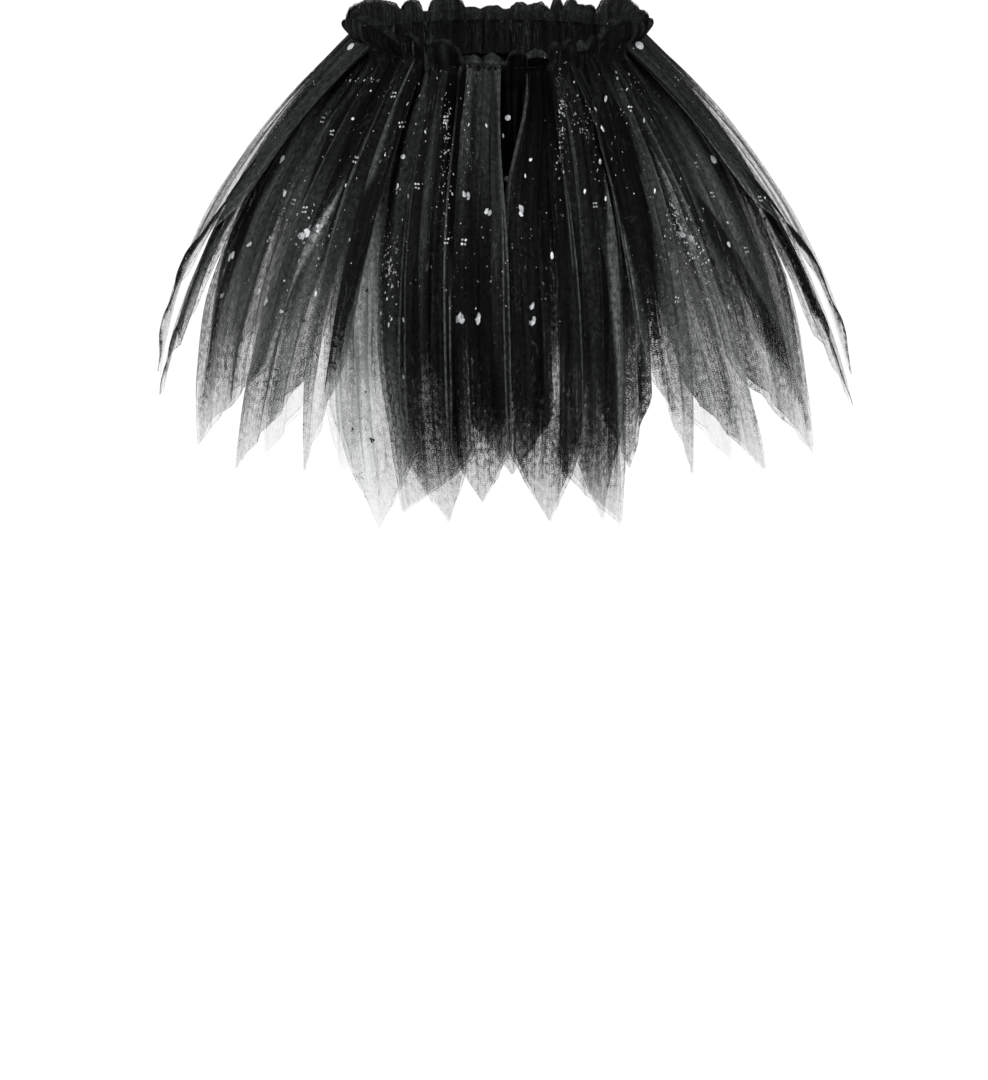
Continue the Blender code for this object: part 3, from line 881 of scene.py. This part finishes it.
def header_section(crown):
    """The fold of the header there, from its foot outside, over the top, to its edge inside."""
    outside = CASING_WALL / 2 + CASING_GATHER_DEPTH
    inside = -CASING_WALL / 2
    top = CASING_TOP + crown.height
    section = [(outside - HEADER_FOOT_IN, CASING_TOP - HEADER_TUCK)]
    for share in FACE_SHARES:
        out = blend(outside, outside * FACE_LEAN, share) + face_bulge(crown, share)
        section.append((out, blend(CASING_TOP, top, share)))
    shoulder, waistline = INNER_SHARES
    return section + [
        (crown.bulge * CREST_OUT, top),
        (inside * FACE_LEAN - crown.bulge * CREST_BACK, blend(CASING_TOP, top, shoulder)),
        (inside - INNER_CLEAR[0], blend(CASING_TOP, top, waistline)),
        (inside - INNER_CLEAR[1], CASING_TOP - INNER_DROPS[0]),
        (inside - INNER_CLEAR[2], CASING_TOP - INNER_DROPS[1]),
    ]


def along_section(section, share):
    """A point that share of the way along a section, on a Catmull-Rom curve through its corners."""
    place = share * (len(section) - 1)
    first = min(int(place), len(section) - 2)
    ends = [section[max(0, min(len(section) - 1, first + step))] for step in (-1, 0, 1, 2)]
    t = place - first
    weights = (
        -0.5 * t + t * t - 0.5 * t**3,
        1 - 2.5 * t * t + 1.5 * t**3,
        0.5 * t + 2 * t * t - 1.5 * t**3,
        -0.5 * t * t + 0.5 * t**3,
    )
    return tuple(sum(weight * end[axis] for weight, end in zip(weights, ends)) for axis in (0, 1))


def header_point(crown, section, gathers, share):
    """A point of the header, and how free of the elastic it stands there."""
    away, height = along_section(section, share)
    free = sin(pi * min(1.0, share / FREE_TO)) ** FREE_SHARPNESS
    away += HEADER_GATHER_DEPTH * gathers * (1 - free)
    x, y, z = ring_point(crown.bearing, away, height)
    free *= min(1.0, crown.height / FREE_HEIGHT)
    turn = radians(crown.bearing)
    for size, depth in HEADER_CRUMPLES:
        push = depth * free * ripple(x / size, y / size, z / size)
        lift = depth * free * ripple(x / size + 31, y / size, z / size)
        x += push * sin(turn)
        y -= push * cos(turn)
        z += lift
    return (x, y, z), free


def make_header(puffs, finish):
    points, uvs, looks = [], [], []
    for column in range(HEADER_COLUMNS + 1):
        bearing = 360 * column / HEADER_COLUMNS
        crown = crown_at(puffs, bearing)
        section = header_section(crown)
        wander = GATHER_WANDER * ripple(bearing / GATHER_WANDER_EVERY, 0, 0)
        gathers = cos(radians(HEADER_GATHERS * bearing) + wander)
        for row in range(HEADER_ROWS + 1):
            share = row / HEADER_ROWS
            point, free = header_point(crown, section, gathers, share)
            film = crown.film * smooth((share - FILM_FROM) * FILM_RISES)
            cover = blend(blend(FULL_COVER, CROWN_COVER, free), FILM_COVER, film)
            points.append(point)
            uvs.append((bearing / 360 * UV_ROUND, share * HEADER_UV))
            looks.append((cover, blend(HEADER_TONE, FILM_TONE, film)))
    inside_out = net_faces(HEADER_COLUMNS + 1, HEADER_ROWS + 1)
    faces = [(a, d, c, b) for a, b, c, d in inside_out]
    made = cloth_object("header_cloth", points, faces, uvs, looks, finish)
    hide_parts("header_frill")
    return points, faces


def make_casing(finish):
    """The gathered channel round the elastic, a flat tube with a gather for each of its waves."""
    middle = (CASING_TOP + CASING_FOOT) / 2
    tall = (CASING_TOP - CASING_FOOT) / 2
    points, uvs, looks = [], [], []
    for column in range(CASING_COLUMNS):
        bearing = 360 * column / CASING_COLUMNS
        turn = radians(bearing)
        for side in range(CASING_ROUND):
            angle = 2 * pi * side / CASING_ROUND
            across = copysign(abs(cos(angle)) ** CASING_FLATNESS, cos(angle))
            up = copysign(abs(sin(angle)) ** CASING_TALLNESS, sin(angle))
            uneven = ripple(bearing / 3, up * 1.5, across)
            fine = cos(FINE_GATHERS * turn + FINE_GATHER_WANDER * uneven) * (1 + uneven)
            wave = CASING_GATHER_DEPTH * cos(CASING_GATHERS * turn) + FINE_GATHER_DEPTH * fine
            away = across * (CASING_WALL / 2 - CASING_SLIMMER) + wave + CASING_BULGE * (1 - abs(up))
            points.append(ring_point(bearing, away, middle + tall * up))
            uvs.append((bearing / 360 * UV_ROUND, side / CASING_ROUND * CASING_UV))
            looks.append((CASING_COVER, CASING_TONE))
    faces = net_faces(CASING_COLUMNS, CASING_ROUND, around=True)
    made = cloth_object("casing_cloth", points, faces, uvs, looks, finish)
    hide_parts("waist_casing")
    return points, faces


# Materials

def settle(made, values):
    """Sets a node's inputs by their names."""
    for key, value in values.items():
        made.inputs[key].default_value = value


def shader_of(name, values):
    made = bpy.data.materials.new(name)
    made.use_nodes = True
    shader = made.node_tree.nodes["Principled BSDF"]
    settle(shader, values)
    return made, made.node_tree, shader


def node(tree, kind, **settings):
    made = tree.nodes.new(kind)
    for key, value in settings.items():
        setattr(made, key, value)
    return made


def maths(tree, operation, first, second=0.0, clamp=False):
    made = node(tree, "ShaderNodeMath", operation=operation, use_clamp=clamp)
    for slot, value in enumerate((first, second)):
        if isinstance(value, (int, float)):
            made.inputs[slot].default_value = value
        else:
            tree.links.new(value, made.inputs[slot])
    return made.outputs[0]


def times(tree, product, *factors):
    for factor in factors:
        product = maths(tree, "MULTIPLY", product, factor)
    return product


def own_value(tree, name):
    """What the mesh's points carry under that name."""
    return node(tree, "ShaderNodeAttribute", attribute_name=name).outputs["Fac"]


def scaled_uv(tree, across, along):
    """The cloth's own coordinates in metres, divided by a pattern's sizes."""
    uv = node(tree, "ShaderNodeUVMap", uv_map="cloth")
    scale = node(tree, "ShaderNodeVectorMath", operation="MULTIPLY")
    tree.links.new(uv.outputs[0], scale.inputs[0])
    scale.inputs[1].default_value = (1 / across, 1 / along, 1)
    return scale.outputs[0]


def noise_of(tree, place, detail, bent=0.0, output="Fac"):
    made = node(tree, "ShaderNodeTexNoise", noise_dimensions="2D")
    settle(made, {"Scale": 1.0, "Detail": detail, "Distortion": bent})
    tree.links.new(place, made.inputs["Vector"])
    return made.outputs[output]


def ranged(tree, value, low, high, to_low, to_high):
    made = node(tree, "ShaderNodeMapRange", clamp=True)
    tree.links.new(value, made.inputs["Value"])
    settle(made, {"From Min": low, "From Max": high, "To Min": to_low, "To Max": to_high})
    return made.outputs[0]


def strength_of(tree, pattern):
    noisy = noise_of(tree, scaled_uv(tree, pattern.across, pattern.along), pattern.detail)
    return ranged(tree, noisy, pattern.low, pattern.high, pattern.weak, pattern.strong)


def cell_borders(tree, place, randomness, near, far):
    """1 on the borders of a pattern of cells and 0 inside them."""
    made = node(tree, "ShaderNodeTexVoronoi", voronoi_dimensions="2D", feature="DISTANCE_TO_EDGE")
    settle(made, {"Scale": 1.0, "Randomness": randomness})
    tree.links.new(place, made.inputs["Vector"])
    return ranged(tree, made.outputs["Distance"], near, far, 1.0, 0.0)


def net_threads(tree):
    """How much the threads of the net and its holes cover."""
    threads = cell_borders(tree, scaled_uv(tree, *NET_CELL), NET_RANDOMNESS, *NET_THREAD)
    return maths(tree, "ADD", times(tree, threads, THREAD_COVER), HOLE_COVER)


def fine_cracks(tree):
    """1 on the wandering cracks of crumpled net and 0 between them, where the net is denser and painted in
    shade.
    """
    place = scaled_uv(tree, *CRACK_SIZE)
    moved = node(tree, "ShaderNodeVectorMath", operation="MULTIPLY_ADD")
    tree.links.new(noise_of(tree, place, CRACK_DETAIL, output="Color"), moved.inputs[0])
    moved.inputs[1].default_value = (CRACK_BENT, CRACK_BENT, CRACK_BENT)
    tree.links.new(place, moved.inputs[2])
    lines = cell_borders(tree, moved.outputs[0], 1.0, 0.0, CRACK_WIDTH)
    return times(tree, lines, strength_of(tree, CRACK_PATCHES))


def fine_veins(tree):
    """1 on the winding veins of creased net and 0 between them, where the net is denser and a painted
    highlight goes.
    """
    wrinkle = noise_of(tree, scaled_uv(tree, *VEIN_SIZE), VEIN_DETAIL, VEIN_BENT)
    away = maths(tree, "ABSOLUTE", maths(tree, "SUBTRACT", wrinkle, 0.5))
    return times(tree, ranged(tree, away, 0.0, VEIN_WIDTH, 1.0, 0.0), strength_of(tree, VEIN_PATCHES))


def shade_between(tree, factor, dark, light, **settings):
    made = node(tree, "ShaderNodeMix", data_type="RGBA", **settings)
    tree.links.new(factor, made.inputs["Factor"])
    for socket in made.inputs:
        if socket.identifier == "A_Color":
            socket.default_value = (*dark, 1)
        if socket.identifier == "B_Color":
            socket.default_value = (*light, 1)
    return next(socket for socket in made.outputs if socket.identifier == "Result_Color")


def tulle_material(name):
    """Net that thins with the mesh's own cover, with streaks, fine lines, mottle, veins and cracks, and
    painted sheen as strong as its tone, painted highlights on the veins and painted shade in the cracks.
    """
    made, tree, shader = shader_of(name, TULLE_FINISH)
    cover = own_value(tree, "cover")
    tone = own_value(tree, "tone")
    streak = strength_of(tree, STREAKS)
    lines = strength_of(tree, FINE_LINES)
    mottle = strength_of(tree, MOTTLE)
    vein = fine_veins(tree)
    crack = fine_cracks(tree)
    denser = maths(tree, "ADD", times(tree, crack, CRACK_COVER), 1.0)
    density = times(tree, cover, streak, lines, mottle, denser)
    crease = times(tree, vein, maths(tree, "MINIMUM", cover, VEIN_COVER))
    stopped = maths(tree, "ADD", density, crease)
    alpha = maths(tree, "MULTIPLY", stopped, net_threads(tree), clamp=True)
    tree.links.new(alpha, shader.inputs["Alpha"])
    # painted shade in the cracks of the crumpled net
    shaded_in_cracks = maths(tree, "SUBTRACT", 1.0, times(tree, crack, CRACK_PAINTED_SHADE))
    # painted sheen: the tone, streaked and mottled, lightens the black threads
    lit = times(tree, tone, streak, mottle, shaded_in_cracks)
    # painted highlight on the veins, stronger where the painted sheen is
    shine = maths(tree, "MINIMUM", times(tree, tone, GLEAM_TONE), VEIN_PAINTED_HIGHLIGHT)
    gleam = times(tree, vein, ranged(tree, cover, *GLEAM_COVERS, 0.0, 1.0), shine)
    lightness = maths(tree, "ADD", lit, gleam)
    shade = shade_between(tree, lightness, TULLE_DARK, TULLE_LIGHT, clamp_factor=False)
    tree.links.new(shade, shader.inputs["Base Color"])
    bump = node(tree, "ShaderNodeBump")
    settle(bump, TULLE_BUMP)
    tree.links.new(maths(tree, "ADD", streak, lines), bump.inputs["Height"])
    tree.links.new(bump.outputs[0], shader.inputs["Normal"])
    return made


def foil_material():
    """Silver foil, each piece as bright as the mesh's own tone says."""
    made, tree, shader = shader_of("silver_foil", FOIL_FINISH)
    shade = shade_between(tree, own_value(tree, "tone"), FOIL_DARK, FOIL_LIGHT)
    tree.links.new(shade, shader.inputs["Base Color"])
    return made


# The glitter and the stitches

def camera_ray(x, y):
    """The ray through a pixel of the photograph."""
    focal = LENS / SENSOR * PHOTO_HEIGHT
    along = Vector((x - PHOTO_WIDTH / 2, 0, 0)) + CAMERA_UP * (PHOTO_HEIGHT / 2 - y)
    return CAMERA_TARGET + CAMERA_BACK * CAMERA_DISTANCE, (along - CAMERA_BACK * focal).normalized()


def inward_ray(bearing, height):
    """The level ray from outside the skirt towards the waist's axis."""
    start = Vector(ring_point(bearing, CAST_FROM, height))
    end = Vector(ring_point(bearing, 0.0, height))
    return start, (end - start).normalized()


class Chips:
    """Many small pieces that lie on the cloth, gathered into one mesh."""

    def __init__(self, carriers, chance):
        points, faces = [], []
        for cloth_points, cloth_faces in carriers:
            first = len(points)
            points += cloth_points
            faces += [tuple(first + corner for corner in face) for face in cloth_faces]
        self.cloth = BVHTree.FromPolygons(points, faces)
        self.chance = chance
        self.clear()

    def clear(self):
        self.points, self.faces, self.tones = [], [], []

    def lay(self, kind, ray, *sizes):
        """Lays a piece of that kind, of one size or between two, where the ray meets the cloth."""
        start, along = ray
        centre, normal, _, _ = self.cloth.ray_cast(start, along)
        if centre is None:
            return
        if normal.dot(along) > 0:
            normal = -normal
        down = Vector((0, 0, -1))
        down = (down - normal * down.dot(normal)).normalized()
        size = [self.chance.uniform(*sizes)] if len(sizes) == 2 else sizes
        kind((centre + normal * CHIP_LIFT, normal, down), *size)

    def chip(self, place, size, form, tone, shift=(0.0, 0.0)):
        """One faceted piece, a little domed and tilted by chance."""
        centre, normal, down = place
        beside = normal.cross(down)
        centre = centre + beside * shift[0] + down * shift[1]
        tilt = [self.chance.uniform(-CHIP_TILT, CHIP_TILT) for _ in range(2)]
        first = len(self.points)
        start = self.chance.uniform(0, pi) if form.uneven else pi / form.corners
        size *= form.reach
        for corner in range(form.corners):
            angle = start + 2 * pi * corner / form.corners
            reach = size * (1 + form.uneven * self.chance.uniform(-1, 1))
            across = reach * cos(angle)
            along = reach * form.long * sin(angle)
            lift = abs(across * tilt[0] + along * tilt[1])
            self.points.append(centre + beside * across + down * along + normal * lift)
            after = first + (corner + 1) % form.corners
            self.faces.append((first + corner, after, first + form.corners))
        self.points.append(centre + normal * size * CHIP_DOME)
        self.tones += [tone] * (form.corners + 1)

    def sequin(self, place, size):
        self.chip(place, size, SEQUIN, self.chance.uniform(*SEQUIN_TONES))

    def dash(self, place, size):
        self.chip(place, size, DASH, self.chance.uniform(*DASH_TONES))

    def cluster(self, place, size):
        """Four squares, two by two."""
        for across in CLUSTER_ACROSS:
            for along in CLUSTER_ALONG:
                shift = (across * size, along * size * self.chance.uniform(*CLUSTER_LOOSE))
                self.chip(place, size, CLUSTER, self.chance.uniform(*CLUSTER_TONES), shift)

    def shard(self, place, size):
        """A torn scrap of foil in several facets."""
        for _ in range(SHARD_FACETS):
            shift = [self.chance.uniform(-SHARD_SHIFT, SHARD_SHIFT) * size for _ in range(2)]
            tone = self.chance.uniform(*SHARD_TONES)
            form = SHARD._replace(corners=self.chance.choice(SHARD_CORNERS))
            self.chip(place, size, form, tone, shift)

    def dust(self, place, size):
        tone = self.chance.uniform(*DUST_TONES) ** DUST_DARKER
        self.chip(place, size, DUST._replace(long=self.chance.uniform(*DUST_LONG)), tone)

    def stitch(self, place):
        """A short level bar of thread."""
        centre, normal, down = place
        along = normal.cross(down)
        first = len(self.points)
        for end in (-STITCH_HALF_LENGTH, STITCH_HALF_LENGTH):
            for across, out in STITCH_SIDES:
                side = down * across + normal * out
                self.points.append(centre + along * end + side * STITCH_HALF_WIDTH)
                self.tones.append(0.0)
        for side in range(4):
            after = (side + 1) % 4
            self.faces.append((first + side, first + after, first + 4 + after, first + 4 + side))
        self.faces.append((first + 3, first + 2, first + 1, first))
        self.faces.append((first + 4, first + 5, first + 6, first + 7))

    def finish(self, name, material, slot):
        """Makes one mesh of everything laid since the last one."""
        made = mesh_object(name, self.points, self.faces, material)
        add_values(made.data, "tone", self.tones)
        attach(made, "root")
        self.clear()


def make_front_glitter(chips, foil):
    for kind, table in (
        (chips.sequin, SEQUINS), (chips.dash, DASHES), (chips.cluster, CLUSTERS), (chips.shard, SHARDS),
    ):
        for x, y, size in table:
            chips.lay(kind, camera_ray(x, y), size)
    chips.finish("front_sequins", foil, "foil_glitter")
    smaller, larger = DUST_SIZES
    for left, top, right, bottom, count, size in PATCHES:
        for _ in range(count):
            x = chips.chance.gauss((left + right) / 2, (right - left) / PATCH_WIDTHS)
            y = chips.chance.gauss((top + bottom) / 2, (bottom - top) / PATCH_WIDTHS)
            chips.lay(chips.dust, camera_ray(x, y), size * smaller, size * larger)
    chips.finish("front_glitter_dust", foil, "foil_glitter")


def make_hidden_glitter(chips, foil):
    kinds = (chips.sequin, chips.dash, chips.cluster, chips.shard, chips.dust)
    for kind, (count, smallest, largest) in zip(kinds, HIDDEN):
        for _ in range(count):
            bearing = chips.chance.uniform(*HIDDEN_BEARINGS)
            height = blend(HIDDEN_TOP, HIDDEN_FOOT, chips.chance.random() ** HIDDEN_CROWDING)
            chips.lay(kind, inward_ray(bearing, height), smallest, largest)
    chips.finish("side_and_back_glitter", foil, "foil_glitter")


def make_threads(chips):
    for x, y, size in KNOTS:
        chips.lay(chips.shard, camera_ray(x, y), size)
    for step in range(STITCHES_ROUND):
        stray = chips.chance.uniform(-STITCH_STRAYS, STITCH_STRAYS)
        chips.lay(chips.stitch, inward_ray(360 * (step + stray) / STITCHES_ROUND, STITCH_HEIGHT))
    thread = shader_of("black_thread", THREAD_FINISH)[0]
    chips.finish("waist_stitches", thread, "gathered_tulle")


# The stage

def backdrop_material():
    """Plain white that the lens sees, even from edge to edge."""
    made = bpy.data.materials.new("backdrop_white")
    made.use_nodes = True
    tree = made.node_tree
    tree.nodes.remove(tree.nodes["Principled BSDF"])
    glow = node(tree, "ShaderNodeEmission")
    settle(glow, {"Strength": BACKDROP_GLOW})
    tree.links.new(glow.outputs[0], tree.nodes["Material Output"].inputs["Surface"])
    return made


def stage_piece(name, points, faces, finish):
    """A piece of the stage, which lights nothing, so that the cloth stays deep black."""
    made = mesh_object(name, points, faces, finish)
    made.visible_diffuse = False
    made.visible_glossy = False
    made.visible_shadow = False


def make_stage():
    white = backdrop_material()
    turns = [2 * pi * step / BACKDROP_SIDES for step in range(BACKDROP_SIDES)]
    rim = [(BACKDROP_RADIUS * sin(turn), BACKDROP_RADIUS * cos(turn)) for turn in turns]
    low = [(x, y, FLOOR_HEIGHT) for x, y in rim]
    high = [(x, y, BACKDROP_RADIUS) for x, y in rim]
    stage_piece("floor", low, [tuple(range(BACKDROP_SIDES))], white)
    walls = []
    for step in range(BACKDROP_SIDES):
        after = (step + 1) % BACKDROP_SIDES
        walls.append((step, after, BACKDROP_SIDES + after, BACKDROP_SIDES + step))
    stage_piece("backdrop", low + high, walls, white)
    world = bpy.data.worlds.new("studio")
    world.use_nodes = True
    settle(world.node_tree.nodes["Background"], {"Color": (1, 1, 1, 1), "Strength": ROOM_LIGHT})
    bpy.context.scene.world = world


def stand(name, data, place, facing):
    """Puts a camera or a light at a place, turned that way."""
    made = bpy.data.objects.new(name, data)
    made.location = place
    made.rotation_euler = facing.to_track_quat("-Z", "Y").to_euler()
    bpy.context.scene.collection.objects.link(made)
    return made


def make_lights():
    for name, (bearing, height, distance, size, power) in LIGHTS.items():
        data = bpy.data.lights.new(name, "AREA")
        data.size = size
        data.energy = power
        turn = radians(bearing)
        place = Vector((distance * sin(turn), -distance * cos(turn), height))
        stand(name, data, place, LIGHTS_AIM - place)


def make_camera():
    data = bpy.data.cameras.new("camera")
    data.sensor_width = SENSOR
    data.lens = LENS
    data.clip_end = CAMERA_REACH
    place = CAMERA_TARGET + CAMERA_BACK * CAMERA_DISTANCE
    bpy.context.scene.camera = stand("camera", data, place, -CAMERA_BACK)


def main():
    scene = bpy.context.scene
    scene.view_settings.view_transform = "Standard"
    scene.cycles.transparent_max_bounces = NET_LAYERS
    make_stage()
    make_camera()
    make_lights()
    tulle = tulle_material("petal_tulle_net")
    gathered = tulle_material("gathered_tulle_net")
    puffs = all_puffs()
    cloths = [make_casing(gathered), make_header(puffs, gathered)]
    cloths += [make_petal(petal, puffs, tulle) for petal in petals()]
    chips = Chips(cloths, random.Random(SEED + 5))
    foil = foil_material()
    make_front_glitter(chips, foil)
    make_hidden_glitter(chips, foil)
    make_threads(chips)


main()
